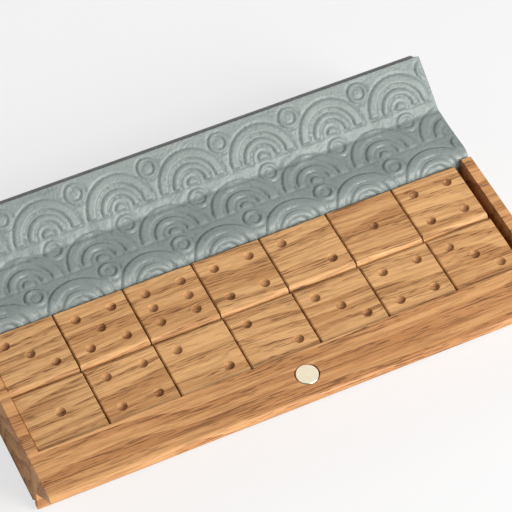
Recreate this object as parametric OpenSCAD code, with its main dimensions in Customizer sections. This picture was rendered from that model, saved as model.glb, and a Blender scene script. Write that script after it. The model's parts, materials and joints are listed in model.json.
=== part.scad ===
// Boxed double-six domino set: a shallow wooden tray with moulded rails, a leather-covered
// hinge rail, a four-panel folding leather lid and twenty-eight wooden tiles in one row of
// seven stacks. Millimetres, +Z up, the tray's base at z = 0 and its centre on the origin.

/* [Tiles] */
// Length of a tile, across the row
tile_len = 48; // [30:0.5:60]
// Width of a tile, along the row
tile_wid = 24; // [15:0.5:30]
// Thickness of a tile
tile_t = 5; // [3:0.1:9]
// Gap between neighbouring tiles
tile_gap = 0.5; // [0.3:0.1:2]
// Broken edge of a tile
tile_edge = 0.35; // [0.1:0.05:0.8]
// Width of the middle groove at the surface
groove_w = 3.85; // [2:0.05:6]
// Radius of the groove's two rounded shoulders
groove_round = 2.2; // [1:0.1:2.6]
// Radius of the ball that sinks a pip
pip_ball = 1.8; // [1:0.1:2.4]
// Height of the ball's centre over the tile
pip_lift = 0.4; // [0.1:0.05:0.8]
// Spacing of the pips
pip_pitch = 6.25; // [4:0.05:7]
// Distance of a half's middle from the groove
half_off = 12.5; // [9:0.1:15]

/* [Tray] */
// Free length left beside the row of tiles
row_slack = 2.75; // [1:0.05:6]
// Free space at the first tile
row_start = 0.25; // [0.2:0.05:1]
// Free space in front of and behind the tiles
tile_play = 0.35; // [0.2:0.05:1]
// Felt under the tray
felt_t = 1; // [0.5:0.1:2]
// Inset of the felt from the rails
felt_inset = 2; // [1:0.1:4]
// Thickness of the floor panel
floor_t = 2.4; // [1.5:0.1:4]
// Depth of the rebate that holds the floor panel
rebate = 2; // [1:0.1:2.5]
// Thickness of the pocket lining
lining_t = 0.8; // [0.4:0.1:1.5]
// Height of the rim over the tiles
rim_over = 1.4; // [0.5:0.1:4]
// Thickness of the end rails
end_t = 3.6; // [3:0.1:8]
// Wall of the long rails at the base
wall_t = 4; // [3.5:0.1:8]
// Width of the front rail at the rim
front_w = 18; // [14:0.5:26]
// Radius of the front rail's nose
nose_r = 1.6; // [0.8:0.1:2.5]

/* [Joinery] */
// Thickness of the end rails' tenons
tenon_t = 1.6; // [1:0.1:2.2]
// Height of the tenons
tenon_h = 8; // [4:0.5:10]
// Length of the tenons
tenon_len = 5; // [2:0.5:6]
// Height of the tenons' lower edge
tenon_z = 13; // [10:0.5:14]
// Clearance around a tenon
tenon_fit = 0.1; // [0.05:0.05:0.3]

/* [Hinge rail] */
// Thickness of the leather on the hinge rail
hide_t = 1.2; // [0.8:0.1:2]
// Radius of the leather roll over the tiles
roll_r = 5; // [3:0.1:7]
// Height of the leather over the rim
hide_over = 0.4; // [0.1:0.1:2]
// Width of the hinge rail with its leather
back_w = 22.45; // [18:0.05:30]
// Height of the leather turned down at the back
turn_down = 4.4; // [2:0.1:6]

/* [Magnets] */
// Diameter of the rim magnet
magnet_d = 7.6; // [5:0.1:12]
// Thickness of the rim magnet
magnet_t = 3; // [1:0.1:5]
// Clearance around a magnet
magnet_fit = 0.3; // [0.3:0.05:0.6]
// Distance of the magnets from the pocket
magnet_off = 9; // [6:0.1:12]
// Place of the magnets along the row
magnet_x = 0.8; // [-5:0.1:5]
// Broken edge of the magnets
magnet_edge = 0.2; // [0.1:0.05:0.5]

/* [Lid] */
// Thickness of the lid boards
board_t = 1.8; // [1:0.1:3]
// Thickness of the lid leather
skin_t = 0.7; // [0.4:0.1:1.2]
// Gap left at each side of a fold
fold_gap = 0.3; // [0.3:0.05:1]
// Drop of the lid's inner face from the hinge
inner_drop = 0.2; // [0.1:0.05:0.6]
// Distance of the hinge behind the rail's leather
hinge_back = 0.3; // [0.2:0.05:0.8]
// Height of the hinge over the rail's leather
hinge_up = 0.1; // [0.1:0.05:0.5]
// Length of the upright panel
upright_len = 20.2; // [15:0.1:24]
// Length of the lying panel
lying_len = 17.2; // [12:0.1:22]
// Length of the closing flap
flap_len = 19.7; // [16:0.1:24]
// How far the closed flap stands past the rim
flap_past = 2.05; // [0.5:0.05:4]
// Height of the open flap over the table
flap_lift = 0.1; // [0.05:0.05:0.5]
// Slope of the upright panel
upright_deg = 36.5; // [20:0.5:60]

/* [Hidden] */
$fn = 64;
eps = 0.01;
columns = 7;
layers = 4;
tile_step = tile_wid + tile_gap;
row_len = columns * tile_wid + (columns - 1) * tile_gap;
pocket_x = (row_len + row_start + row_slack) / 2;
pocket_y = tile_len / 2 + tile_play;
first_x = -pocket_x + row_start + tile_wid / 2;
tray_x = pocket_x + end_t;
floor_z = felt_t + floor_t;
tiles_z = floor_z + lining_t;
tile_top = tiles_z + layers * tile_t;
rim_z = tile_top + rim_over;
hide_z = rim_z + hide_over;
wood_back_y = pocket_y + hide_t;
wood_back_w = back_w - 2 * hide_t;
wood_back_z = hide_z - hide_t;
hinge_y = pocket_y + back_w + hinge_back;
hinge_z = hide_z + hinge_up;
lid_t = board_t + 2 * skin_t;
in_w = -inner_drop;
out_w = -inner_drop - lid_t;
groove_rise = 0.04;
groove_centre = groove_w / 2 + sqrt(pow(groove_round, 2) - pow(groove_round - groove_rise, 2));

// The hanging panel takes up what the closed lid needs to reach past the rim
lid_reach = hinge_y + pocket_y + front_w + flap_past;
hanging_len = lid_reach - upright_len - lying_len - flap_len;
// It slopes so that the lying panel and the flap, which stay in line, come to rest on the table
lying_z = flap_lift + lid_t;
top_z = hinge_z + upright_len * sin(upright_deg) + out_w * cos(upright_deg);
hanging_drop = min(1, (top_z - lying_z) / norm([hanging_len, lid_t]));
hanging_deg = -90 - atan(lid_t / hanging_len) - acos(hanging_drop);

// Where each fold lies in the flat lid: distance from the hinge, then height in its thickness
FOLD = [
    [0, 0],
    [upright_len, out_w],
    [upright_len + hanging_len, in_w],
    [upright_len + hanging_len + lying_len, in_w]
];
ENDS = [
    0,
    upright_len,
    upright_len + hanging_len,
    upright_len + hanging_len + lying_len,
    upright_len + hanging_len + lying_len + flap_len
];
SLOPE = [upright_deg, hanging_deg, 0, 0];
PANEL = ["upright", "hanging", "lying", "flap"];

function turned(v, a) = [v[0] * cos(a) - v[1] * sin(a), v[0] * sin(a) + v[1] * cos(a)];
function fold_at(i) =
    i == 0 ? [hinge_y, hinge_z] : fold_at(i - 1) + turned(FOLD[i] - FOLD[i - 1], SLOPE[i - 1]);

// The top tile of each stack, as back half and front half
TOP = [[3, 1], [5, 4], [6, 2], [4, 2], [2, 3], [1, 4], [4, 3]];
function is_top(a, b) =
    len([for (t = TOP) if (min(t[0], t[1]) == a && max(t[0], t[1]) == b) 1]) > 0;
REST = [for (a = [0:6]) for (b = [a:6]) if (!is_top(a, b)) [a, b]];
function halves(c, l) = l == layers - 1 ? TOP[c] : REST[l * columns + c];
function tile_name(c, l) =
    str("domino_", min(halves(c, l)[0], halves(c, l)[1]), "_", max(halves(c, l)[0], halves(c, l)[1]));

// Pips of each number, in steps of the pip spacing
PIPS = [
    [],
    [[0, 0]],
    [[-1, 1], [1, -1]],
    [[-1, 1], [0, 0], [1, -1]],
    [[-1, 1], [1, 1], [-1, -1], [1, -1]],
    [[-1, 1], [1, 1], [0, 0], [-1, -1], [1, -1]],
    [[-1, 1], [-1, 0], [-1, -1], [1, 1], [1, 0], [1, -1]]
];

// Sub-part to show, or all

// Extrudes a section drawn in Y and Z along X
module along_x(length) {
    rotate([90, 0, 90])
        linear_extrude(length, center = true)
            children();
}

module centred(x, y, z0, z1) {
    translate([-x, -y, z0])
        cube([2 * x, 2 * y, z1 - z0]);
}

// A rectangle with its four corners cut
module cut_rect(w, h, c) {
    polygon([
        [-w / 2 + c, -h / 2], [w / 2 - c, -h / 2], [w / 2, -h / 2 + c], [w / 2, h / 2 - c],
        [w / 2 - c, h / 2], [-w / 2 + c, h / 2], [-w / 2, h / 2 - c], [-w / 2, -h / 2 + c]
    ]);
}

module tile_body() {
    intersection() {
        linear_extrude(tile_t)
            cut_rect(tile_wid, tile_len, tile_edge);
        translate([0, 0, tile_t / 2])
            along_x(tile_wid + 1)
                cut_rect(tile_len, tile_t, tile_edge);
        translate([0, 0, tile_t / 2])
            rotate([90, 0, 0])
                linear_extrude(tile_len + 1, center = true)
                    cut_rect(tile_wid, tile_t, tile_edge);
    }
}

// The groove's two shoulders bulge into it and meet near its bottom
module groove() {
    along_x(tile_wid + 1)
        difference() {
            translate([-groove_centre, tile_t - groove_round + groove_rise])
                square([2 * groove_centre, groove_round + 1]);
            for (s = [-1, 1])
                translate([s * groove_centre, tile_t - groove_round + groove_rise])
                    circle(groove_round);
        }
}

module pips(number, y) {
    for (p = PIPS[number])
        translate([p[0] * pip_pitch, y + p[1] * pip_pitch, tile_t + pip_lift])
            sphere(pip_ball);
}

module domino(c, l) {
    color([0.78, 0.58, 0.38])
        translate([first_x + c * tile_step, 0, tiles_z + l * tile_t])
            difference() {
                tile_body();
                groove();
                pips(halves(c, l)[0], half_off);
                pips(halves(c, l)[1], -half_off);
            }
}

module base_felt() {
    color([0.2, 0.18, 0.17])
        centred(tray_x - felt_inset, pocket_y + wall_t - felt_inset, 0, felt_t);
}

module floor_panel() {
    color([0.7, 0.52, 0.35])
        centred(pocket_x + rebate, pocket_y + rebate, felt_t, floor_z);
}

module pocket_lining() {
    color([0.45, 0.47, 0.46])
        centred(pocket_x, pocket_y, floor_z, tiles_z);
}

// Front rail before its cuts: v runs outwards from the pocket, the underside is coved
module front_solid() {
    under_z = rim_z - 2 * nose_r;
    along_x(2 * tray_x)
        polygon([
            [rebate, felt_t], [rebate, floor_z], [0, floor_z], [0, rim_z],
            [front_w - nose_r, rim_z], [front_w - nose_r, under_z],
            [wall_t, under_z - (front_w - nose_r - wall_t)], [wall_t, felt_t]
        ]);
    along_x(2 * tray_x)
        translate([front_w - nose_r, rim_z - nose_r])
            circle(nose_r);
}

// Slot for an end rail's tenon, cut from a long rail whose pocket face is at y
module tenon_slots(y, way) {
    for (s = [-1, 1])
        translate([
            s * (pocket_x + end_t / 2) - tenon_t / 2 - tenon_fit,
            way > 0 ? y - eps : y - tenon_len - tenon_fit,
            tenon_z - tenon_fit
        ])
            cube([tenon_t + 2 * tenon_fit, tenon_len + tenon_fit + eps, tenon_h + 2 * tenon_fit]);
}

module front_rail() {
    color([0.82, 0.6, 0.38])
        difference() {
            translate([0, -pocket_y, 0])
                mirror([0, 1, 0])
                    front_solid();
            tenon_slots(-pocket_y, -1);
            translate([magnet_x, -pocket_y - magnet_off, rim_z - magnet_t])
                cylinder(h = magnet_t + 1, r = magnet_d / 2 + magnet_fit);
        }
}

// Hinge rail's wood before its cuts, with the round that carries the leather roll
module back_solid() {
    r = roll_r - hide_t;
    side_z = hide_z - turn_down;
    along_x(2 * tray_x)
        polygon([
            [rebate - hide_t, felt_t], [rebate - hide_t, floor_z], [0, floor_z],
            [0, wood_back_z - r], [r, wood_back_z - r], [r, wood_back_z],
            [wood_back_w, wood_back_z], [wood_back_w, side_z],
            [wall_t - hide_t, side_z - (wood_back_w - wall_t + hide_t)], [wall_t - hide_t, felt_t]
        ]);
    along_x(2 * tray_x)
        translate([r, wood_back_z - r])
            circle(r);
}

module back_rail() {
    color([0.8, 0.58, 0.37])
        difference() {
            translate([0, wood_back_y, 0])
                back_solid();
            tenon_slots(wood_back_y, 1);
        }
}

// Outside of the leather that lines the pocket's back, rolls over the edge and covers the rail
module leather_solid() {
    along_x(2 * tray_x)
        polygon([
            [0, tiles_z], [0, hide_z - roll_r], [roll_r, hide_z - roll_r], [roll_r, hide_z],
            [back_w, hide_z], [back_w, hide_z - turn_down],
            [back_w / 2, hide_z - turn_down], [back_w / 2, tiles_z]
        ]);
    along_x(2 * tray_x)
        translate([roll_r, hide_z - roll_r])
            circle(roll_r);
}

module rail_leather() {
    color([0.52, 0.55, 0.54])
        difference() {
            translate([0, pocket_y, 0])
                leather_solid();
            translate([0, wood_back_y, 0])
                back_solid();
            translate([-tray_x - 1, wood_back_y, 0])
                cube([2 * tray_x + 2, back_w, hide_z - turn_down]);
            for (s = [-1, 1])
                translate([s > 0 ? pocket_x : -tray_x - 1, pocket_y - 1, 0])
                    cube([end_t + 1, hide_t + 1, hide_z - roll_r]);
        }
}

// One end rail, from the front rail to the hinge rail, with a tenon at each end
module end_rail(side) {
    color([0.82, 0.6, 0.38])
        mirror([side > 0 ? 0 : 1, 0, 0])
            union() {
                difference() {
                    translate([pocket_x, -pocket_y, felt_t])
                        cube([end_t, 2 * pocket_y, rim_z - felt_t]);
                    translate([pocket_x - 1, -pocket_y - 1, felt_t - 1])
                        cube([rebate + 1, 2 * pocket_y + 2, floor_t + 1]);
                }
                translate([pocket_x, pocket_y - 1, floor_z])
                    cube([end_t, hide_t + 1, hide_z - roll_r - floor_z]);
                translate([pocket_x + end_t / 2 - tenon_t / 2, -pocket_y - tenon_len, tenon_z])
                    cube([tenon_t, 2 * pocket_y + 2 * tenon_len + hide_t, tenon_h]);
            }
}

module left_rail() {
    end_rail(-1);
}

module right_rail() {
    end_rail(1);
}

// A magnet or steel disc with broken edges, its lower face at the origin
module disc(t) {
    rotate_extrude()
        polygon([
            [0, 0], [magnet_d / 2 - magnet_edge, 0], [magnet_d / 2, magnet_edge],
            [magnet_d / 2, t - magnet_edge], [magnet_d / 2 - magnet_edge, t], [0, t]
        ]);
}

module rim_magnet() {
    color([0.85, 0.8, 0.65])
        translate([magnet_x, -pocket_y - magnet_off, rim_z - magnet_t])
            disc(magnet_t);
}

// Places what is drawn in the flat lid, at its distance from the hinge, on panel i at rest
module on_panel(i) {
    at = fold_at(i);
    translate([0, at[0], at[1]])
        rotate([SLOPE[i], 0, 0])
            translate([0, -FOLD[i][0], -FOLD[i][1]])
                children();
}

// A slab of panel i between two heights, set in from the panel's edges
module slab(i, w0, w1, inset) {
    u0 = ENDS[i] + fold_gap + inset;
    u1 = ENDS[i + 1] - fold_gap - inset;
    translate([-tray_x + inset, u0, w0])
        cube([2 * (tray_x - inset), u1 - u0, w1 - w0]);
}

disc_u = hinge_y + pocket_y + magnet_off;

module panel_board(i) {
    color([0.6, 0.5, 0.4])
        on_panel(i)
            difference() {
                slab(i, out_w + skin_t, in_w - skin_t, skin_t);
                if (i == 3)
                    translate([magnet_x, disc_u, out_w])
                        cylinder(h = lid_t, r = magnet_d / 2 + magnet_fit);
            }
}

module panel_outer_skin(i) {
    color([0.62, 0.65, 0.64])
        on_panel(i)
            difference() {
                slab(i, out_w, in_w - skin_t, 0);
                slab(i, out_w + skin_t, in_w, skin_t);
            }
}

module panel_inner_skin(i) {
    color([0.65, 0.68, 0.67])
        on_panel(i)
            slab(i, in_w - skin_t, in_w, 0);
}

module flap_disc() {
    color([0.7, 0.7, 0.7])
        on_panel(3)
            translate([magnet_x, disc_u, out_w + skin_t])
                disc(board_t);
}

base_felt();
floor_panel();
pocket_lining();
front_rail();
back_rail();
left_rail();
right_rail();
rim_magnet();
rail_leather();
flap_disc();
for (i = [0:3]) {
    panel_board(i);
    panel_outer_skin(i);
    panel_inner_skin(i);
}
for (c = [0:columns - 1])
    for (l = [0:layers - 1])
        domino(c, l);
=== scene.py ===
"""Boxed double-six domino set: an oak tray of stacked tiles with a folding leather lid."""

import json
import logging
import math
from dataclasses import dataclass, field
from enum import Enum

import bpy
import numpy as np
from mathutils import Matrix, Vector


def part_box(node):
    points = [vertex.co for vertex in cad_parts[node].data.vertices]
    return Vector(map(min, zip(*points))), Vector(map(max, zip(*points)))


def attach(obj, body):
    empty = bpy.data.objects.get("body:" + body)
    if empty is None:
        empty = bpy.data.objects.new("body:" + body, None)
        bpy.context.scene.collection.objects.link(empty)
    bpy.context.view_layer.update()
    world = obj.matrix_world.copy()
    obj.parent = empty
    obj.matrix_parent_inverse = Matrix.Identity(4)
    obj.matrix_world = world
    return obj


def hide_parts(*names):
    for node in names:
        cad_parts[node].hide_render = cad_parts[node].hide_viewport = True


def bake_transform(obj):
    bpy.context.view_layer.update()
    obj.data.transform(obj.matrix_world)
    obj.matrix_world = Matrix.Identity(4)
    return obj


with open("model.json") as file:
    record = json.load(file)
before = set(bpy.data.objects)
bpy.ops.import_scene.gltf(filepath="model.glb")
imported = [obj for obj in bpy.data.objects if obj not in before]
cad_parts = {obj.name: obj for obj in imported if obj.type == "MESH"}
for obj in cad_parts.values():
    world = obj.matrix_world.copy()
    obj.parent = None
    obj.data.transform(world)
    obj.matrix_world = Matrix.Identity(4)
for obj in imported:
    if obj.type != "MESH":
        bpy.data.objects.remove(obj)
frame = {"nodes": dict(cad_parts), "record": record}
LOG = logging.getLogger("domino_set")
MM = 0.001


class Op(Enum):
    """Operations of the shader's maths node."""

    ADD = "ADD"
    SUBTRACT = "SUBTRACT"
    MULTIPLY = "MULTIPLY"
    ABSOLUTE = "ABSOLUTE"
    MAXIMUM = "MAXIMUM"


class Body(Enum):
    """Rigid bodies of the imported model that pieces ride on."""

    TRAY = "tray"
    UPRIGHT = "lid_upright"
    HANGING = "lid_hanging"
    FRONT = "lid_front"


class Socket:
    """An output socket that takes part in arithmetic."""

    def __init__(self, graph: "Graph", socket):
        self.graph = graph
        self.socket = socket

    def _math(self, op: Op, other) -> "Socket":
        return self.graph.maths(op, self, other)

    def __add__(self, other) -> "Socket":
        return self._math(Op.ADD, other)

    def __sub__(self, other) -> "Socket":
        return self._math(Op.SUBTRACT, other)

    def __rsub__(self, other) -> "Socket":
        return self.graph.maths(Op.SUBTRACT, other, self)

    def __mul__(self, other) -> "Socket":
        return self._math(Op.MULTIPLY, other)

    __radd__ = __add__
    __rmul__ = __mul__


class Graph:
    """Builds one material's node tree."""

    def __init__(self, name: str):
        self.material = bpy.data.materials.new(name)
        self.material.use_nodes = True
        self.tree = self.material.node_tree
        self.tree.nodes.clear()
        self.coords = self.node("ShaderNodeTexCoord")["Object"]

    def feed(self, target, value) -> None:
        """Links a socket to an input, or sets the input's own value.

        Args:
            target: The input socket.
            value: A Socket, a number, or a tuple for a colour or vector.
        """
        if isinstance(value, Socket):
            self.tree.links.new(value.socket, target)
        elif isinstance(value, tuple) and target.type == "RGBA" and len(value) == 3:
            target.default_value = (*value, 1.0)
        else:
            target.default_value = value

    def node(self, kind: str, inputs: dict | None = None, **settings) -> "NodeOuts":
        """Adds a node.

        Args:
            kind: The node's type.
            inputs: Values or sockets by input name or index.
            **settings: Plain attributes of the node.

        Returns:
            The node's outputs, by name or index.
        """
        made = self.tree.nodes.new(kind)
        for key, value in settings.items():
            setattr(made, key, value)
        for key, value in (inputs or {}).items():
            self.feed(made.inputs[key], value)
        return NodeOuts(self, made)

    def maths(self, op: Op, a, b=0.0) -> Socket:
        """Adds a maths node for one operation on sockets or numbers."""
        return self.node("ShaderNodeMath", {0: a, 1: b}, operation=op.value)[0]

    def placed(self, coords: Socket, scale, shift=(0, 0, 0), turn=(0, 0, 0)) -> Socket:
        """Scales, turns and shifts coordinates."""
        values = {"Vector": coords, "Scale": scale, "Location": shift, "Rotation": turn}
        return self.node("ShaderNodeMapping", values)[0]

    def noise(self, coords: Socket, scale=1.0, detail=2.0, rough=0.5, distort=0.0) -> Socket:
        """Fractal noise between 0 and 1.

        Args:
            coords: Where to read the noise.
            scale: Cycles per metre.
            detail: Octaves on top of the first.
            rough: Strength of each octave against the one before.
            distort: How far the noise bends itself.

        Returns:
            The noise.
        """
        values = {"Vector": coords, "Scale": scale, "Detail": detail,
                  "Roughness": rough, "Distortion": distort}
        return self.node("ShaderNodeTexNoise", values)[0]

    def pebbles(self, coords: Socket, scale: float) -> Socket:
        """Distance from the middle of the nearest cell, smoothed where cells meet."""
        values = {"Vector": coords, "Scale": scale}
        return self.node("ShaderNodeTexVoronoi", values, feature="SMOOTH_F1")["Distance"]

    def ramp(self, value: Socket, low: float, high: float) -> Socket:
        """Smoothly maps low..high to 0..1; low may be the larger one."""
        values = {0: value, 1: low, 2: high}
        return self.node("ShaderNodeMapRange", values, interpolation_type="SMOOTHSTEP")[0]

    def mix(self, factor, a, b) -> Socket:
        """Mixes two colours."""
        return self.node("ShaderNodeMix", {0: factor, 6: a, 7: b}, data_type="RGBA")[2]

    def finish(self, inputs: dict, height: Socket | None = None, depth=0.0001, strength=1.0):
        """Ends the tree with a Principled surface.

        Args:
            inputs: Inputs of the surface by name.
            height: Optional height for a bump.
            depth: The bump's depth in metres.
            strength: The bump's strength.

        Returns:
            The material.
        """
        if height is not None:
            bump = {"Strength": strength, "Distance": depth, "Height": height}
            inputs = {**inputs, "Normal": self.node("ShaderNodeBump", bump)[0]}
        surface = self.node("ShaderNodeBsdfPrincipled", inputs)
        self.node("ShaderNodeOutputMaterial", {"Surface": surface[0]})
        return self.material


class NodeOuts:
    """Outputs of a node as Sockets."""

    def __init__(self, graph: Graph, made):
        self.graph = graph
        self.made = made

    def __getitem__(self, key) -> Socket:
        return Socket(self.graph, self.made.outputs[key])


@dataclass(frozen=True)
class Oak:
    """Oiled oak with its grain along X.

    Attributes:
        name: Name of the material.
        light: Colour of the early wood.
        mid: Colour of the late wood.
        pore: Colour of an open pore.
        shift: Where in the plank the piece was cut, in metres.
        tilt: Turn of the grain off X, in radians.
        tone: Brightness against the other pieces.
        ring_gap: Distance between growth rings, in metres.
        open_pores: How strongly the pores darken the wood.
        tile: Middle along X and top of a tile whose pips get painted shade, or None.
        pip_shade_colour: Colour of the painted shade in a pip's hollow.
        pip_field: Half width, inner and outer end of the part of a tile's half that holds pips.
        pip_depth: Depth under the top at which the painted pip shade ends.
        feather: Half the width of the soft border of the painted pip shade.
    """

    name: str
    light: tuple = (0.744, 0.42, 0.177)
    mid: tuple = (0.48, 0.228, 0.082)
    pore: tuple = (0.12, 0.045, 0.017)
    shift: tuple = (0.0, 0.0, 0.0)
    tilt: float = 0.0
    tone: float = 1.0
    ring_gap: float = 0.0062
    open_pores: float = 0.75
    tile: tuple | None = None
    pip_shade_colour: tuple = (0.19, 0.07, 0.024)
    pip_field: tuple = (9.1 * MM, 3.3 * MM, 21.6 * MM)
    pip_depth: float = 2.1 * MM
    feather: float = 0.1 * MM

    def pip_shade_mask(self, g: Graph) -> Socket:
        """Painted shade in the pips of a tile, darker towards a pip's bottom: 1 at the bottom of a pip
        and 0 on the face.
        """
        middle, top = self.tile
        half, near, far = self.pip_field
        split = g.node("ShaderNodeSeparateXYZ", {0: g.coords})
        depth = top - split["Z"]
        x, y = g.maths(Op.ABSOLUTE, split["X"] - middle), g.maths(Op.ABSOLUTE, split["Y"])

        def under(value: Socket, limit: float) -> Socket:
            """1 where a value is under a limit, with a feathered border."""
            return g.ramp(value, limit + self.feather, limit - self.feather)

        outside_groove = g.ramp(y, near - self.feather, near + self.feather)
        pips = under(x, half) * under(y, far) * outside_groove * under(depth, self.pip_depth)
        return pips * g.ramp(depth, 0.02 * MM, 0.9 * MM)

    def material(self):
        """Builds growth bands, fine streaks and open pores.

        Returns:
            The material.
        """
        g = Graph(self.name)
        base = g.placed(g.coords, (1, 1, 1), self.shift, (0, 0, self.tilt))

        def grain(along: float, across: float, detail: float = 2.0) -> Socket:
            """Noise drawn out along the grain, with so many cycles per metre each way."""
            return g.noise(g.placed(base, (along, across, across)), detail=detail)

        # growth rings: saw teeth over the plank's section, bent by two slow noises
        sway, drift = grain(9, 38) - 0.5, grain(30, 240) - 0.5
        split = g.node("ShaderNodeSeparateXYZ", {0: base})
        across = split["Y"] + split["Z"] * 0.55 + sway * 0.028 + drift * 0.0016
        turns = across * (1.0 / self.ring_gap)
        cycle = g.node("ShaderNodeMath", {0: turns, 1: 1.0}, operation="FLOORED_MODULO")[0]
        rings = g.ramp(cycle, 0.15, 0.93) * g.ramp(cycle, 1.0, 0.93)
        tone, streak, fibre = grain(7, 70, 3.0), grain(22, 620), grain(70, 2100)
        # open pores: short dashes and longer fine lines, most of them in the late wood
        dashes, lines = grain(170, 2400, 1.0), grain(48, 1700, 3.0)
        pores = g.ramp(dashes, 0.55, 0.66) * (rings * 0.7 + 0.35)
        pores = g.maths(Op.MAXIMUM, pores, g.ramp(lines, 0.53, 0.66) * (rings * 0.55 + 0.4))
        shade = rings * 0.55 + g.ramp(streak, 0.38, 0.68) * 0.45 + g.ramp(tone, 0.4, 0.7) * 0.4
        light = tuple(c * self.tone for c in self.light)
        mid = tuple(c * self.tone for c in self.mid)
        colour = g.mix(g.ramp(shade, 0.0, 1.1), light, mid)
        colour = g.mix(g.ramp(fibre, 0.45, 0.75) * 0.28, colour, self.mid)
        colour = g.mix(pores * self.open_pores, colour, self.pore)
        # painted shade in the pips: the wood darkens towards each pip's bottom
        if self.tile:
            colour = g.mix(self.pip_shade_mask(g) * 0.5, colour, self.pip_shade_colour)
        rough = 0.46 + pores * 0.25 + fibre * 0.08
        height = fibre * 0.25 - pores * 0.9
        return g.finish({"Base Color": colour, "Roughness": rough, "Specular IOR Level": 0.35},
                        height, 0.00012, 0.7)


@dataclass(frozen=True)
class Hide:
    """Pebbled leather.

    Attributes:
        name: Name of the material.
        colour: Colour of the face.
        mottle_and_crease_shade: Colour of the darker mottle, and of the painted shade in the pores and
            creases.
        pebble: Pebbles per metre.
        rough: Roughness of the face.
    """

    name: str
    colour: tuple = (0.245, 0.285, 0.275)
    mottle_and_crease_shade: tuple = (0.11, 0.135, 0.13)
    pebble: float = 1150.0
    rough: float = 0.36

    def material(self):
        """Builds fine pebbles with hairline creases, a soft mottle and painted shade in the pores and
        creases.

        Returns:
            The material.
        """
        g = Graph(self.name)
        bend = g.noise(g.coords, 420.0, 2.0)
        warped = g.node("ShaderNodeVectorMath", {0: g.coords, 1: bend * 0.0006},
                        operation="ADD")[0]
        cells = g.pebbles(warped, self.pebble)
        fine = g.noise(g.coords, 2600.0, 2.0)
        mottle = g.noise(g.coords, 55.0, 4.0, 0.6)
        veins = g.maths(Op.ABSOLUTE, g.noise(g.coords, 130.0, 3.0, 0.6, 0.6) - 0.5)
        hair = 1.0 - g.ramp(veins, 0.0, 0.035)
        # the mottle is the hide's own tone; the darkening between the pebbles and along the hairline
        # creases is painted shade
        shade = g.ramp(mottle, 0.3, 0.7) * 0.22 + hair * 0.1 + g.ramp(cells, 0.35, 0.8) * 0.22
        colour = g.mix(shade, self.colour, self.mottle_and_crease_shade)
        rough = self.rough + mottle * 0.12 - cells * 0.05
        height = fine * 0.15 - cells * 0.5 - hair * 0.3
        return g.finish({"Base Color": colour, "Roughness": rough, "Specular IOR Level": 0.42},
                        height, 0.00016, 0.7)


@dataclass(frozen=True)
class Plate:
    """Plated metal with a turned face and fine scratches."""

    name: str
    colour: tuple = (0.86, 0.77, 0.58)
    rough: float = 0.3

    def material(self):
        """Builds a clouded plate with fine scratches one way."""
        g = Graph(self.name)
        cloud = g.noise(g.coords, 900.0, 3.0)
        scratch = g.noise(g.placed(g.coords, (300, 6000, 6000), turn=(0, 0, 0.6)), detail=2.0)
        marks = g.ramp(scratch, 0.6, 0.72)
        colour = g.mix(cloud * 0.25 + marks * 0.2, self.colour, tuple(c * 0.8 for c in self.colour))
        return g.finish({"Base Color": colour, "Metallic": 1.0,
                         "Roughness": self.rough + cloud * 0.12 + marks * 0.1},
                        scratch, 0.00001, 0.4)


@dataclass(frozen=True)
class Nap:
    """Felt, suede or board: short fibres without a direction."""

    name: str
    colour: tuple
    dark: tuple
    fibre: float = 3000.0
    depth: float = 0.0002

    def material(self):
        """Builds matt, tangled fibres over a faint patchiness."""
        g = Graph(self.name)
        fluff = g.noise(g.coords, self.fibre, 3.0, 0.65, 0.8)
        patch = g.noise(g.coords, 90.0, 3.0)
        colour = g.mix(g.ramp(fluff, 0.3, 0.7) * 0.6 + patch * 0.3, self.colour, self.dark)
        return g.finish({"Base Color": colour, "Roughness": 0.86 + patch * 0.1,
                         "Specular IOR Level": 0.15}, fluff, self.depth, 0.8)


@dataclass(frozen=True)
class EdgePaint:
    """The satin paint that seals a cut leather edge."""

    name: str
    colour: tuple = (0.20, 0.125, 0.125)

    def material(self):
        """Builds paint that is rubbed paler in places."""
        g = Graph(self.name)
        wear = g.noise(g.coords, 260.0, 4.0, 0.7)
        colour = g.mix(g.ramp(wear, 0.5, 0.8) * 0.6, self.colour, (0.34, 0.25, 0.23))
        return g.finish({"Base Color": colour, "Roughness": 0.38 + wear * 0.2}, wear, 0.00005, 0.5)


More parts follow.
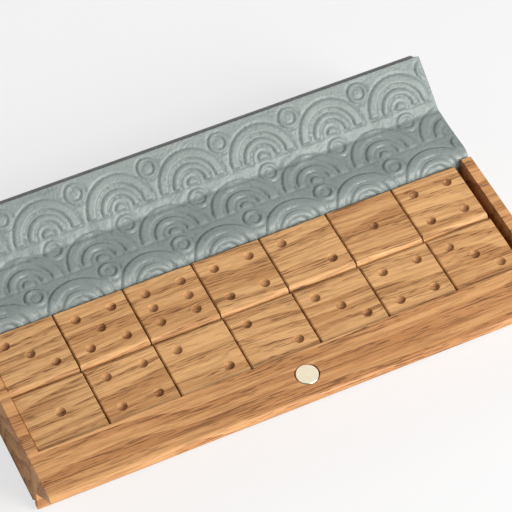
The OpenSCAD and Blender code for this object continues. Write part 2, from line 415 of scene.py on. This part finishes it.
class Mesher:
    """Turns arrays into mesh objects."""

    @staticmethod
    def quads(name: str, points: np.ndarray, faces: np.ndarray, sharp: float = 50.0):
        """Makes a smooth-shaded mesh object from points and four-cornered faces."""
        mesh = bpy.data.meshes.new(name)
        points = np.ascontiguousarray(points.reshape(-1, 3), dtype=np.float32)
        faces = np.ascontiguousarray(faces.reshape(-1, 4), dtype=np.int32)
        mesh.vertices.add(len(points))
        mesh.vertices.foreach_set("co", points.ravel())
        mesh.loops.add(faces.size)
        mesh.loops.foreach_set("vertex_index", faces.ravel())
        mesh.polygons.add(len(faces))
        mesh.polygons.foreach_set("loop_start", np.arange(0, faces.size, 4, dtype=np.int32))
        mesh.polygons.foreach_set("use_smooth", np.ones(len(faces), dtype=bool))
        mesh.update(calc_edges=True)
        mesh.validate()
        mesh.set_sharp_from_angle(angle=math.radians(sharp))
        piece = bpy.data.objects.new(name, mesh)
        bpy.context.scene.collection.objects.link(piece)
        return piece

    @staticmethod
    def cells(rows: int, columns: int, wrap: bool = False) -> np.ndarray:
        """Faces of a grid of points, closed round its columns if wrap is set."""
        last = columns if wrap else columns - 1
        r, c = np.meshgrid(np.arange(rows - 1), np.arange(last), indexing="ij")
        n = (c + 1) % columns
        corners = [r * columns + c, r * columns + n, (r + 1) * columns + n, (r + 1) * columns + c]
        return np.stack(corners, axis=-1).reshape(-1, 4)

    @staticmethod
    def normals(grid: np.ndarray) -> np.ndarray:
        """Unit normals of a grid of points."""
        cross = np.cross(np.gradient(grid, axis=0), np.gradient(grid, axis=1))
        return cross / np.maximum(np.linalg.norm(cross, axis=-1, keepdims=True), 1e-12)

    @classmethod
    def skin(cls, name: str, grid: np.ndarray, thickness: float):
        """Makes a closed skin below a grid of points."""
        rows, columns = grid.shape[:2]
        under = grid - cls.normals(grid) * thickness
        count = rows * columns
        index = np.arange(count).reshape(rows, columns)
        rim = np.concatenate([index[0, :], index[1:, -1], index[-1, -2::-1], index[-2:0:-1, 0]])
        after = np.roll(rim, -1)
        top = cls.cells(rows, columns)
        sides = np.stack([rim, rim + count, after + count, after], axis=-1)
        faces = np.concatenate([top, top[:, ::-1] + count, sides])
        return cls.quads(name, np.concatenate([grid.reshape(-1, 3), under.reshape(-1, 3)]), faces)

    @classmethod
    def tube(cls, name: str, path: np.ndarray, radius: float, sides: int = 10):
        """Makes a closed round bead along a closed path."""
        ahead = np.roll(path, -1, axis=0) - np.roll(path, 1, axis=0)
        ahead /= np.linalg.norm(ahead, axis=1, keepdims=True)
        out = np.cross(ahead, cls.loop_normal(path)[None, :])
        out /= np.linalg.norm(out, axis=1, keepdims=True)
        up = np.cross(out, ahead)
        a = np.linspace(0, 2 * math.pi, sides, endpoint=False)
        ring = out[:, None] * np.cos(a)[None, :, None] + up[:, None] * np.sin(a)[None, :, None]
        points = path[:, None] + ring * radius
        faces = cls.cells(len(path) + 1, sides, wrap=True) % (len(path) * sides)
        return cls.quads(name, points, faces)

    @staticmethod
    def loop_normal(path: np.ndarray) -> np.ndarray:
        """Unit normal of a flat closed path."""
        middle = path - path.mean(axis=0)
        total = np.cross(middle, np.roll(middle, -1, axis=0)).sum(axis=0)
        return total / np.linalg.norm(total)


@dataclass(frozen=True)
class FanRelief:
    """Embossed fans in staggered rows with rings between, each shape with a pressed outline.

    Attributes:
        pitch: Distance between fans along a row, and between rows.
        lift: Distance from the leather's lower edge to the first row.
        foot: Height of a fan's centre over the start of its row.
        heel: How far a fan reaches below its centre.
        depth: Height of the relief.
        soft: Width of the slope at a shape's border.
        line: Depth of the pressed outline.
        outline: Distance of the outline from the border, and its width.
        arcs: Middle radius and half width of each arc of a fan.
        dot: Radius of the dot at a fan's centre.
        ring: Height of the ring over the fan's centre, its middle radius and its half width.
    """

    pitch: tuple = (26.0 * MM, 15.4 * MM)
    lift: float = 2.0 * MM
    foot: float = 1.5 * MM
    heel: float = 0.5 * MM
    depth: float = 0.4 * MM
    soft: float = 0.5 * MM
    line: float = 0.26 * MM
    outline: tuple = (0.25 * MM, 0.42 * MM)
    arcs: tuple = ((10.0 * MM, 1.6 * MM), (5.6 * MM, 1.1 * MM))
    dot: float = 1.9 * MM
    ring: tuple = (9.7 * MM, 2.9 * MM, 0.7 * MM)

    def inside(self, x: np.ndarray, s: np.ndarray) -> np.ndarray:
        """Distance inside the nearest shape, negative outside.

        Args:
            x: Distance along the row.
            s: Distance up the leather.

        Returns:
            The distance in metres.
        """
        px, ps = self.pitch
        row = np.floor((s - self.lift) / ps)
        up = s - self.lift - row * ps - self.foot
        across = np.mod(x + 0.5 * px * np.mod(row, 2), px) - 0.5 * px
        radius = np.hypot(across, up)
        shape = self.dot - radius
        for mid, half in self.arcs:
            shape = np.maximum(shape, half - np.abs(radius - mid))
        shape = np.minimum(shape, up + self.heel)
        rise, mid, half = self.ring
        beside = np.hypot(0.5 * px - np.abs(across), up - rise)
        return np.maximum(shape, half - np.abs(beside - mid))

    def height(self, x: np.ndarray, s: np.ndarray) -> np.ndarray:
        """Height of the relief over the leather, in metres.

        Args:
            x: Distance along the row.
            s: Distance up the leather.

        Returns:
            The height, below zero in a shape's outline.
        """
        d = self.inside(x, s)
        t = np.clip(d / self.soft + 0.5, 0, 1)
        away, width = self.outline
        return self.depth * t * t * (3 - 2 * t) - self.line * np.exp(-((d + away) / width) ** 2)


def wrinkles(x: np.ndarray, s: np.ndarray, seed: int, pitch: float) -> np.ndarray:
    """A smooth field of random ripples, seldom past -1 and 1.

    Args:
        x: Distance along the row.
        s: Distance up the leather.
        seed: Seed of the random draws.
        pitch: Usual distance between ripples.

    Returns:
        The field.
    """
    rng = np.random.default_rng(seed)
    total = np.zeros(np.broadcast(x, s).shape)
    waves = 14
    for _ in range(waves):
        kx = 2 * math.pi / (pitch * rng.uniform(0.6, 2.2))
        ks = 2 * math.pi / (pitch * rng.uniform(0.8, 3.0)) * rng.choice([-1, 1])
        total += np.sin(kx * x + ks * s + rng.uniform(0, 6.3))
    return total * 2 / waves


@dataclass(frozen=True)
class Panel:
    """One stiff panel of the lid, seen in the flat lid's coordinates.

    Attributes:
        name: Name of the panel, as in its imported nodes.
        body: The body that it belongs to.
        start: Distance from the hinge to the panel along the flat lid.
        length: Length along the flat lid.
        pivot: Y and Z at rest of the line that its body turns about.
        fold: The same line's distance along and height over the flat lid.
        slope: Degrees from +Y at rest.
    """

    name: str
    body: Body
    start: float
    length: float
    pivot: tuple
    fold: tuple
    slope: float

    def world(self, u: np.ndarray, w: np.ndarray) -> tuple:
        """Y and Z at rest of a point u along the flat lid and w over its hinge."""
        a = math.radians(self.slope)
        du, dw = u - self.fold[0], w - self.fold[1]
        return (self.pivot[0] + du * math.cos(a) - dw * math.sin(a),
                self.pivot[1] + du * math.sin(a) + dw * math.cos(a))


@dataclass
class Lid:
    """Four leather-covered panels that fold back behind the tray.

    Attributes:
        half: Half the lid's width.
        inner: Height of the lid's inner face over its hinge line, when flat.
        outer: Height of its outer face.
        skin: Thickness of the leather.
        gap: Gap between a panel and the fold.
        corner: Radius of the leather round a panel's edge.
        step: Size of the mesh's faces.
        border: Distance from the edge over which the relief fades in.
        worn: Depth of the relief on the panels against that on the hinge leather.
        edge_radius: Radius of the painted bead.
        relief: The embossing.
        panels: The panels from the hinge to the flap.
    """

    half: float
    inner: float = -0.2 * MM
    outer: float = -3.4 * MM
    skin: float = 0.7 * MM
    gap: float = 0.3 * MM
    corner: float = 0.9 * MM
    step: float = 0.75 * MM
    border: tuple = (1.5 * MM, 1.2 * MM)
    worn: float = 0.8
    edge_radius: float = 0.27 * MM
    relief: FanRelief = field(default_factory=FanRelief)
    panels: list = field(default_factory=list)

    def __post_init__(self):
        """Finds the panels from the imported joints, and the last two from their packed skins."""
        joints = {j["name"]: j for j in frame["record"]["behaviour"]["joints"]}
        turns = [joints[name] for name in ("lid_hinge", "lid_fold_1", "lid_fold_2")]
        pivots = [tuple(joint["pos_m"][1:]) for joint in turns]
        slopes = 180.0 + np.cumsum([max(joint["range_deg"], key=abs) for joint in turns])
        levels = (0.0, self.outer, self.inner)
        start = 0.0
        for i, (name, body) in enumerate((("upright", Body.UPRIGHT), ("hanging", Body.HANGING))):
            a = math.radians(slopes[i])
            way = np.subtract(pivots[i + 1], pivots[i])
            length = float(way @ (math.cos(a), math.sin(a)))
            self.panels.append(Panel(name, body, start, length, pivots[i],
                                     (start, levels[i]), float(slopes[i])))
            start += length
        fold = (start, levels[2])
        for name in ("lying", "flap"):
            low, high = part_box(name + "_outer_skin")
            length = high[1] - low[1] + 2 * self.gap
            self.panels.append(Panel(name, Body.FRONT, start, length, pivots[2],
                                     fold, float(slopes[2])))
            start += length

    def section(self, panel: Panel, top: float) -> np.ndarray:
        """A rounded section round a panel.

        Args:
            panel: The panel.
            top: Height of the panel's inner face.

        Returns:
            Points of the closed outline, each a distance along and over the flat lid.
        """
        u0, u1 = panel.start + self.gap, panel.start + panel.length - self.gap
        w0, w1, r = self.outer, top, self.corner
        arc = np.linspace(0, math.pi / 2, 6)
        runs = []
        for cu, cw, turn in ((u1 - r, w1 - r, 0), (u0 + r, w1 - r, 1),
                             (u0 + r, w0 + r, 2), (u1 - r, w0 + r, 3)):
            a = arc + turn * math.pi / 2
            runs.append(np.stack([cu + r * np.cos(a), cw + r * np.sin(a)], axis=-1))
        points = []
        for i, run in enumerate(runs):
            points.append(run)
            nxt = runs[(i + 1) % 4][0]
            n = max(2, int(np.linalg.norm(nxt - run[-1]) / self.step))
            t = np.linspace(0, 1, n + 1)[1:-1, None]
            points.append(run[-1] * (1 - t) + nxt * t)
        return np.concatenate(points)

    def wrap(self, panel: Panel, top: float, material):
        """Leather round a panel's board, embossed on both faces.

        Args:
            panel: The panel.
            top: Height of the panel's inner face.
            material: The leather.

        Returns:
            The mesh object.
        """
        loop = self.section(panel, top)
        u, w = loop[:, 0], loop[:, 1]
        mid_u, mid_w = panel.start + panel.length / 2, (self.outer + top) / 2
        r = self.corner
        ease = np.linspace(0, math.pi / 2, 5)
        run = np.arange(-self.half + r, self.half - r + 1e-9, self.step)
        xs = np.concatenate([-self.half + r - r * np.cos(ease[:-1]), run,
                             (self.half - r + r * np.sin(ease[1:]))])
        inset = np.concatenate([r * (1 - np.sin(ease[:-1])), np.zeros(len(run)),
                                r * (1 - np.cos(ease[1:]))])
        cut_u = np.sign(u - mid_u)[None, :] * np.minimum(inset[:, None], np.abs(u - mid_u))
        cut_w = np.sign(w - mid_w)[None, :] * np.minimum(inset[:, None], np.abs(w - mid_w))
        flat = (np.abs(u - mid_u) < panel.length / 2 - self.gap - r - 0.1 * MM)
        flat = flat.astype(float) * np.sign(w - mid_w)
        across, along = self.border
        fade = np.clip((self.half - np.abs(xs) - across) / across, 0, 1)[:, None]
        edge = np.clip((panel.length / 2 - self.gap - np.abs(u - mid_u) - r) / along, 0, 1)
        phase = 4 * MM
        rise = self.relief.height(xs[:, None], u[None, :] + phase) * fade * edge[None, :] * self.worn
        uu = u[None, :] - cut_u
        ww = w[None, :] - cut_w + rise * flat[None, :]
        y, z = panel.world(uu, ww)
        grid = np.stack([np.broadcast_to(xs[:, None], y.shape), y, z], axis=-1)
        rows, columns = y.shape
        ends = []
        for row, way in ((0, 1), (rows - 1, -1)):
            line = row * columns + np.arange(columns)
            half = columns // 2
            a, b = line[:half], line[::-1][:half]
            strip = np.stack([a[:-1], b[:-1], b[1:], a[1:]], axis=-1)
            ends.append(strip[:, ::way])
        faces = np.concatenate([Mesher.cells(rows, columns, wrap=True)[:, ::-1], *ends])
        piece = Mesher.quads(panel.name + "_wrap", grid, faces)
        piece.data.materials.append(material)
        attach(piece, panel.body.value)
        return piece

    def bead(self, panel: Panel, level: float, material):
        """A painted bead where the inner leather's edge shows round a panel.

        Args:
            panel: The panel.
            level: Height of the bead over the flat lid.
            material: The edge paint.

        Returns:
            The mesh object.
        """
        r = 1.0 * MM
        sunk = 0.18 * MM
        u0 = panel.start + self.gap + sunk
        u1 = panel.start + panel.length - self.gap - sunk
        x1 = self.half - sunk
        arc = np.linspace(0, math.pi / 2, 5)
        corners = [(x1 - r, u1 - r, 0), (-x1 + r, u1 - r, 1), (-x1 + r, u0 + r, 2), (x1 - r, u0 + r, 3)]
        path = []
        for cx, cu, turn in corners:
            a = arc + turn * math.pi / 2
            path.append(np.stack([cx + r * np.cos(a), cu + r * np.sin(a)], axis=-1))
        path = np.concatenate(path)
        y, z = panel.world(path[:, 1], np.full(len(path), level))
        piece = Mesher.tube(panel.name + "_edge", np.stack([path[:, 0], y, z], axis=-1), self.edge_radius)
        piece.data.materials.append(material)
        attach(piece, panel.body.value)
        return piece

    def strip(self, before: Panel, after: Panel, level: float, material):
        """The thin leather that bends at the fold between two panels.

        Args:
            before: The panel on the hinge's side.
            after: The panel on the flap's side.
            level: Height of the face that the leather runs on.
            material: The leather.

        Returns:
            The mesh object.
        """
        reach, near, proud = 5.0 * MM, 0.55 * MM, 0.12 * MM
        rows, margin, thickness = 8, 3 * MM, 0.25 * MM
        side = 1.0 if level == self.inner else -1.0
        fold = after.start
        ua = np.linspace(fold - reach, fold - near, rows)
        ub = np.linspace(fold + near, fold + reach, rows)
        ya, za = before.world(ua, np.full(rows, level + side * proud))
        yb, zb = after.world(ub, np.full(rows, level + side * proud))
        pa, pb = np.stack([ya, za], -1), np.stack([yb, zb], -1)
        t = np.linspace(0, 1, 9)[1:-1, None]
        still = before.body == after.body
        middle = (pa[-1] + pb[0]) / 2 if still else np.array(after.pivot)
        bend = (1 - t) ** 2 * pa[-1] + 2 * t * (1 - t) * middle + t ** 2 * pb[0]
        line = np.concatenate([pa, bend, pb])
        xs = np.linspace(-self.half + margin, self.half - margin, 150)
        ripple = wrinkles(xs[:, None], np.arange(len(line))[None, :] * MM, 7, 6 * MM) * 0.05 * MM
        grid = np.zeros((len(xs), len(line), 3))
        grid[..., 0] = xs[:, None]
        grid[..., 1:] = line[None]
        grid += Mesher.normals(grid) * ripple[..., None]
        if side < 0:
            grid = grid[::-1]
        piece = Mesher.skin(f"fold_{before.name}_{after.name}", grid, thickness)
        piece.data.materials.append(material)
        if still:
            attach(piece, after.body.value)
            return piece
        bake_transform(piece)
        return piece

    def build(self, leather, edge) -> None:
        """Makes every piece of the lid but the leather that also covers the tray's rail.

        Args:
            leather: Material of the panels and folds.
            edge: Material of the painted edges.
        """
        for i, panel in enumerate(self.panels):
            top = self.inner - (self.skin + 0.02 * MM if i == 0 else 0.0)
            wrap = self.wrap(panel, top, leather)
            covered = [panel.name + "_outer_skin"] + ([] if i == 0 else [panel.name + "_inner_skin"])
            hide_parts(*covered)
            self.bead(panel, self.inner - self.skin - 0.1 * MM, edge)
        levels = (self.outer, self.inner, self.inner)
        for i, level in enumerate(levels):
            self.strip(self.panels[i], self.panels[i + 1], level, leather)


@dataclass
class RailLeather:
    """Leather from the pocket's back wall over the roll, the rail, the crease and the upright.

    Attributes:
        half: Half the leather's width.
        lid: The lid, whose upright panel the leather lines.
        roll: Radius of the roll over the pocket's edge.
        thickness: Thickness of the leather.
        step: Size of the mesh's faces.
        sag: How far the leather sinks on the rail, and bulges on the upright.
        dip: Depth of the crease under the hinge line.
        crumple: Height and half width of the fine folds in the crease.
        pucker: Height and half width of the soft folds round the crease.
        slack: Height of the slow waves over the whole leather.
        relief: The embossing.
    """

    half: float
    lid: Lid
    roll: float = 5.0 * MM
    thickness: float = 0.65 * MM
    step: float = 0.42 * MM
    sag: tuple = (0.35 * MM, 0.25 * MM)
    dip: float = 0.55 * MM
    crumple: tuple = (0.18 * MM, 2.4 * MM)
    pucker: tuple = (0.08 * MM, 7 * MM)
    slack: float = 0.12 * MM
    relief: FanRelief = field(default_factory=FanRelief)

    def line(self) -> tuple:
        """The leather's section from the pocket's floor to the upright's free edge.

        Returns:
            The points' Y and Z, their distances along the leather, and the crease's distance.
        """
        low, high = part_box("rail_leather")
        y0, z0, y1, z1 = low[1], low[2], high[1], high[2]
        panel = self.lid.panels[0]
        count = 40
        wave = np.sin(np.linspace(0, math.pi, count))
        arc = np.linspace(math.pi, math.pi / 2, 24)
        ys = [np.array([y0, y0]), y0 + self.roll + self.roll * np.cos(arc)]
        zs = [np.array([z0, z1 - self.roll]), z1 - self.roll + self.roll * np.sin(arc)]
        before_crease = len(arc) + 6
        flat = np.linspace(y0 + self.roll, y1 - 0.8 * MM, count)[1:]
        ys.append(flat)
        zs.append(z1 - self.sag[0] * wave[1:])
        u = np.linspace(0.9 * MM, panel.length - self.lid.gap - 0.1 * MM, count)
        yu, zu = panel.world(u, np.full(count, self.lid.inner))
        bow = self.sag[1] * wave
        a = math.radians(panel.slope)
        t = np.linspace(0, 1, 9)[1:-1, None]
        bottom = np.array([panel.pivot[0], panel.pivot[1] - self.dip])
        first, last = np.array([flat[-1], z1]), np.array([yu[0], zu[0]])
        turn = (1 - t) ** 2 * first + 2 * t * (1 - t) * bottom + t ** 2 * last
        ys += [turn[:, 0], yu - bow * math.sin(a)]
        zs += [turn[:, 1], zu + bow * math.cos(a)]
        y, z = np.concatenate(ys), np.concatenate(zs)
        s = np.concatenate([[0], np.cumsum(np.hypot(np.diff(y), np.diff(z)))])
        crease = float(np.interp(panel.pivot[0], y[before_crease:], s[before_crease:]))
        wall = float(np.hypot(y[1] - y[0], z[1] - z[0]))
        even = np.concatenate([np.linspace(0, wall, 4)[:-1],
                               np.linspace(wall, s[-1], int((s[-1] - wall) / self.step))])
        return np.stack([np.interp(even, s, y), np.interp(even, s, z)], -1), even, crease

    def surface(self, x: np.ndarray, along: np.ndarray, crease: float) -> np.ndarray:
        """Height of the relief, the crumpled crease and the slack over the leather's section.

        Args:
            x: Distance along the row.
            along: Distance up the leather.
            crease: Where the crease lies along it.

        Returns:
            The height in metres.
        """
        def ease(value: np.ndarray, start: float, width: float) -> np.ndarray:
            """Rises from 0 at the start to 1 over a width."""
            return np.clip((value - start) / width, 0, 1)

        sides = ease(self.half - np.abs(x), 0.8 * MM, 1.5 * MM)
        top = ease(along.max() - along, 0.6 * MM, 1.2 * MM)
        high, width = self.crumple
        near = np.exp(-((along - crease) / width) ** 2)
        rise = self.relief.height(x, along + 2.0 * MM) * sides * top * (1 - 0.4 * near)
        rise = rise * ease(along, 16 * MM, 3 * MM)
        folds = wrinkles(x, along, 3, 4.0 * MM) * near * high
        high, width = self.pucker
        wide = np.exp(-((along - crease) / width) ** 2)
        folds += wrinkles(x, along * 0.4, 11, 9 * MM) * wide * high
        slack = wrinkles(x, along, 5, 38 * MM) * self.slack * ease(along, 20 * MM, 8 * MM)
        return rise + folds + slack * sides * top

    def build(self, material):
        """Makes the leather in its resting shape.

        Args:
            material: The leather.

        Returns:
            The mesh object.
        """
        line, along, crease = self.line()
        xs = np.arange(-self.half, self.half + 1e-9, self.step * 1.1)
        grid = np.zeros((len(xs), len(line), 3))
        grid[..., 0] = xs[:, None]
        grid[..., 1:] = line[None]
        grid += Mesher.normals(grid) * self.surface(xs[:, None], along[None, :], crease)[..., None]
        if Mesher.normals(grid)[len(xs) // 2, len(line) // 2, 2] < 0:
            grid = grid[::-1]
        piece = Mesher.skin("hinge_leather", grid, self.thickness)
        piece.data.materials.append(material)
        LOG.info("leather: crease %.1f mm, end %.1f mm", crease / MM, along[-1] / MM)
        y, z = self.lid.panels[0].pivot
        y - 1.2 * MM
        y + 1.0 * MM
        z + 0.5 * MM
        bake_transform(piece)
        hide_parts("rail_leather", "upright_inner_skin")
        return piece


class Woodwork:
    """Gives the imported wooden, felt and metal nodes their finishes."""

    def __init__(self):
        self.nodes = frame["nodes"]
        self.rng = np.random.default_rng(28)

    def paint(self, material, *names: str) -> None:
        """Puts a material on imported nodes.

        Args:
            material: The material.
            *names: Names of the nodes.
        """
        for name in names:
            mesh = self.nodes[name].data
            mesh.materials.clear()
            mesh.materials.append(material)

    @staticmethod
    def place(name: str) -> tuple:
        """Middle along X and top of a tile."""
        low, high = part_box(name)
        return ((low[0] + high[0]) / 2, high[2])

    def tiles(self) -> None:
        """Cuts each tile from its own place in the plank."""
        for name in sorted(n for n in self.nodes if n.startswith("domino_")):
            shift = tuple(float(v) for v in self.rng.uniform(-2, 2, 3))
            oak = Oak(name + "_oak", shift=shift, tilt=float(self.rng.uniform(-0.05, 0.05)),
                      tone=float(self.rng.uniform(0.9, 1.06)),
                      ring_gap=float(self.rng.uniform(0.0045, 0.0085)), tile=self.place(name))
            self.paint(oak.material(), name)

    def rails(self) -> None:
        """Gives the four rails a slightly redder oak with wider rings."""
        colours = {"light": (0.73, 0.385, 0.157), "mid": (0.49, 0.215, 0.075)}
        for i, name in enumerate(("front_rail", "back_rail", "left_rail", "right_rail")):
            shift = (0.3 * i, 0.7 + 0.2 * i, 0.1 * i)
            self.paint(Oak(name + "_oak", shift=shift, ring_gap=0.0075, **colours).material(), name)

    def build(self) -> None:
        """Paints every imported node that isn't covered by new leather."""
        self.tiles()
        self.rails()
        self.paint(Oak("floor_oak", tone=0.85, shift=(1.2, 0.4, 0.3)).material(), "floor_panel")
        self.paint(Plate("warm_nickel").material(), "rim_magnet")
        self.paint(Plate("zinc", (0.7, 0.71, 0.72), 0.4).material(), "flap_disc")
        felt = Nap("felt_nap", (0.035, 0.03, 0.028), (0.018, 0.015, 0.014))
        suede = Nap("suede_nap", (0.18, 0.19, 0.185), (0.11, 0.12, 0.117), 2400.0, 0.00015)
        board = Nap("board_nap", (0.33, 0.27, 0.2), (0.25, 0.2, 0.15), 1500.0, 0.0001)
        self.paint(felt.material(), "base_felt")
        self.paint(suede.material(), "pocket_lining")
        self.paint(board.material(), "upright_board", "hanging_board", "lying_board", "flap_board")


@dataclass(frozen=True)
class Lamp:
    """A square area lamp that looks at the object.

    Attributes:
        name: Name of the lamp.
        azimuth: Degrees from +X towards +Y.
        height: Degrees above the floor.
        away: Distance in metres.
        size: Side in metres.
        power: Watts.
        colour: Colour of the light.
    """

    name: str
    azimuth: float
    height: float
    away: float
    size: float
    power: float
    colour: tuple = (1, 1, 1)

    def way(self) -> np.ndarray:
        """Direction from the object to the lamp."""
        a, e = math.radians(self.azimuth), math.radians(self.height)
        return np.array([math.cos(a) * math.cos(e), math.sin(a) * math.cos(e), math.sin(e)])


LAMPS = (
    Lamp("key", -58.0, 35.0, 1.1, 0.6, 16.0, (1.0, 0.985, 0.965)),
    Lamp("overhead", 64.5, 52.0, 1.3, 0.9, 3.0),
    Lamp("side", 190.0, 35.0, 1.2, 0.8, 1.5, (0.96, 0.98, 1.0)),
)


@dataclass(frozen=True)
class Studio:
    """Floor, lights and camera.

    Attributes:
        yaw: Turn of the view from +Y towards +X, in radians.
        pitch: How far the view looks down, in radians.
        distance: From the camera to the point it looks at, in metres.
        lens: Focal length in millimetres.
        target: X and Y of the point it looks at, on top of the tiles.
        middle: Height of the point that the lamps look at.
        whiten: How far the floor is lifted to white for the camera.
        glow: The colour that it is lifted to.
        floor_half: Half the floor's side.
        world: Strength of the light from all round.
    """

    yaw: float = math.radians(25.494)
    pitch: float = math.radians(51.27)
    distance: float = 0.8341
    lens: float = 179.08
    target: tuple = (0.00719, 0.01762)
    middle: float = 0.02
    whiten: float = 0.72
    glow: tuple = (0.95, 0.95, 0.955)
    floor_half: float = 4.0
    world: float = 0.16

    def floor(self) -> None:
        """Lays a pale floor that the camera sees nearly white, with the shadows kept."""
        g = Graph("pale_floor")
        cloud = g.noise(g.coords, 6.0, 5.0, 0.6)
        colour = g.mix(g.ramp(cloud, 0.35, 0.7) * 0.5, (0.86, 0.86, 0.86), (0.80, 0.80, 0.80))
        material = g.finish({"Base Color": colour, "Roughness": 0.6, "Specular IOR Level": 0.2})
        surface = next(n for n in g.tree.nodes if n.type == "OUTPUT_MATERIAL").inputs["Surface"]
        plain = Socket(g, surface.links[0].from_socket)
        glow = g.node("ShaderNodeEmission", {"Color": self.glow})
        seen = g.node("ShaderNodeLightPath")["Is Camera Ray"]
        both = g.node("ShaderNodeMixShader", {0: seen * self.whiten, 1: plain, 2: glow[0]})
        g.feed(surface, both[0])
        h = self.floor_half
        corners = np.array([[-h, -h, 0], [h, -h, 0], [h, h, 0], [-h, h, 0]])
        piece = Mesher.quads("floor", corners, np.array([[0, 1, 2, 3]]))
        piece.data.materials.append(material)

    def light(self, lamp: Lamp) -> None:
        """Hangs a lamp."""
        data = bpy.data.lights.new(lamp.name, "AREA")
        data.size, data.energy, data.color = lamp.size, lamp.power, lamp.colour
        piece = bpy.data.objects.new(lamp.name, data)
        bpy.context.scene.collection.objects.link(piece)
        way = lamp.way()
        self.aim(piece, way * lamp.away + np.array([*self.target, self.middle]), -way)

    @staticmethod
    def aim(thing, place: np.ndarray, look: np.ndarray) -> None:
        """Places an object and turns its -Z along a direction with its X level.

        Args:
            thing: The lamp or camera.
            place: Its place.
            look: The direction, which isn't upright.
        """
        back = -look / np.linalg.norm(look)
        side = np.cross([0, 0, 1.0], back)
        side /= np.linalg.norm(side)
        turn = np.eye(4)
        turn[:3] = np.stack([side, np.cross(back, side), back, place], axis=1)
        thing.matrix_world = Matrix(turn.tolist())

    def camera(self) -> None:
        """Sets the camera up with the view's own perspective."""
        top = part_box("domino_1_4")[1][2]
        look = np.array([math.cos(self.pitch) * math.sin(self.yaw),
                         math.cos(self.pitch) * math.cos(self.yaw), -math.sin(self.pitch)])
        data = bpy.data.cameras.new("camera")
        data.lens, data.sensor_width, data.clip_start, data.clip_end = self.lens, 36.0, 0.05, 20.0
        camera = bpy.data.objects.new("camera", data)
        bpy.context.scene.collection.objects.link(camera)
        self.aim(camera, np.array([*self.target, top]) - look * self.distance, look)
        bpy.context.scene.camera = camera

    def build(self) -> None:
        """Makes the stage, with its main light from the front right."""
        self.camera()
        self.floor()
        for lamp in LAMPS:
            self.light(lamp)
        world = bpy.data.worlds.new("studio")
        world.use_nodes = True
        backdrop = world.node_tree.nodes["Background"]
        backdrop.inputs[0].default_value = (1.0, 1.0, 1.0, 1.0)
        backdrop.inputs[1].default_value = self.world
        bpy.context.scene.world = world
        bpy.context.scene.view_settings.view_transform = "Standard"


def main() -> None:
    """Builds the whole set and its studio."""
    logging.basicConfig(level=logging.INFO)
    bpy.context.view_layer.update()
    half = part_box("front_rail")[1][0]
    Woodwork().build()
    hide = Hide("grey_hide").material()
    lid = Lid(half)
    lid.build(hide, EdgePaint("edge_paint").material())
    RailLeather(half, lid).build(hide)
    Studio().build()


if __name__ == "__main__":
    main()
